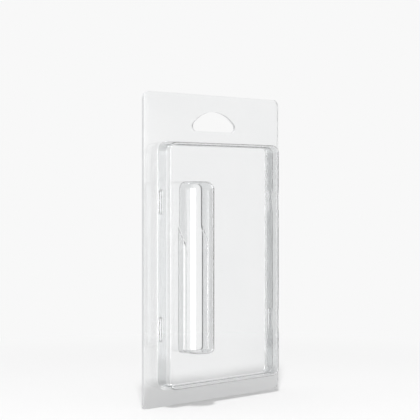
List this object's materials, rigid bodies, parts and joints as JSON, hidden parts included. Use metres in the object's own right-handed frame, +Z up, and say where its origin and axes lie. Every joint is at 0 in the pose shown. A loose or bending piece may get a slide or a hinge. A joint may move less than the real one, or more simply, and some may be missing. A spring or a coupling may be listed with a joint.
{
  "type": "blister pack",
  "caption": "Clear two-part plastic blister pack: a flanged front shell with a raised tray and a long proud pocket, a hang hole, and a snap-in back shell that pulls off.",
  "frame": {"origin": "the crown of the hang hole, where a peg carries the pack, on the pack's back face", "axes": "+Z up the pack, +Y out of its back, -Y out of its front where the pocket stands proud, +X to the right seen from the front"},
  "size_m": [0.07, 0.0178, 0.114],
  "materials": {
    "clear_front": "clear glossy thermoformed sheet",
    "clear_back": "clear glossy thermoformed sheet"
  },
  "bodies": {
    "front": {"front_blister": "clear_front"},
    "back": {"back_blister": "clear_back"}
  },
  "joints": [
    {"name": "back_pull", "type": "slide", "parent": "front", "child": "back", "axis": [0, 1, 0], "range_m": [0, 0.02]}
  ]
}
